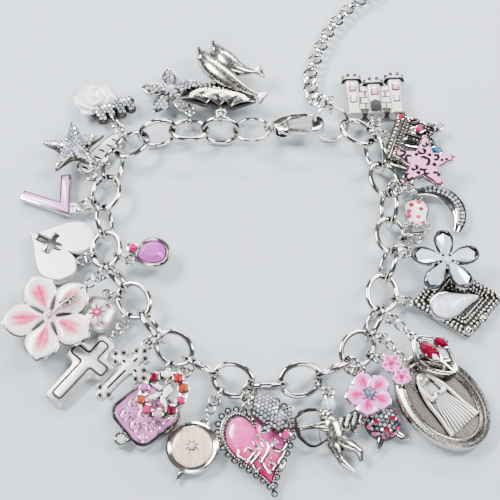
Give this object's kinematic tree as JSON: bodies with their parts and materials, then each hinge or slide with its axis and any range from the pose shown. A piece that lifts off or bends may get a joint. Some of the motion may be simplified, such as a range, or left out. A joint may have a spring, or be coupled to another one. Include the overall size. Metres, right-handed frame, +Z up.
{
  "type": "charm bracelet",
  "caption": "Cable-chain charm bracelet with silver, enamel and crystal charms on jump rings, a lobster clasp and an extender chain.",
  "frame": {"origin": "the middle of the whole layout seen from above, on the plane that the bracelet lies on", "axes": "+Z up out of that plane, +Y towards the clasp, +X to the right seen with the clasp at the top"},
  "size_m": [0.1134, 0.1358, 0.0088],
  "materials": {
    "polished_silver": "polished silver",
    "aged_silver": "antiqued silver, bright on its high points",
    "white_enamel": "glossy fired enamel",
    "pink_enamel": "glossy fired enamel",
    "crystal_pave": "clear stones set close together in silver",
    "ruby_glass": "faceted red glass"
  },
  "bodies": {
    "bracelet": {"archer_cherub": "aged_silver", "budded_cross": "aged_silver", "camellias": "white_enamel", "castle": "aged_silver", "chevron": "pink_enamel", "clasp_body": "polished_silver", "crystal_fawn": "crystal_pave", "crystal_flower": "crystal_pave", "crystal_turtle": "crystal_pave", "cut_heart": "aged_silver", "dashed_tag": "white_enamel", "dolphins": "polished_silver", "domed_band": "crystal_pave", "dotted_boot": "white_enamel", "extender_chain": "polished_silver", "kite_pendant": "aged_silver", "lace_heart": "pink_enamel", "large_flower": "white_enamel", "leaf_drop": "ruby_glass", "leopard_star": "pink_enamel", "main_chain": "polished_silver", "outlined_cross": "aged_silver", "oval_medal": "aged_silver", "pear_drop": "pink_enamel", "pearl_disc": "polished_silver", "pink_blossoms": "pink_enamel", "pink_flower": "pink_enamel", "pointed_flower": "crystal_pave", "rose_box": "pink_enamel", "scroll_crown": "aged_silver", "star_bead": "polished_silver", "starfish": "crystal_pave", "stone_wreath": "polished_silver"},
    "lever": {"clasp_lever": "polished_silver"}
  },
  "joints": [
    {"name": "lever_hinge", "type": "hinge", "parent": "bracelet", "child": "lever", "pos_m": [0.00655, 0.02215, 0.00404], "axis": [-0.0326, 0.3072, 0.9511], "range_deg": [0, 24], "stiffness_Nm_per_rad": 0.001, "springref_deg": -5.73}
  ]
}
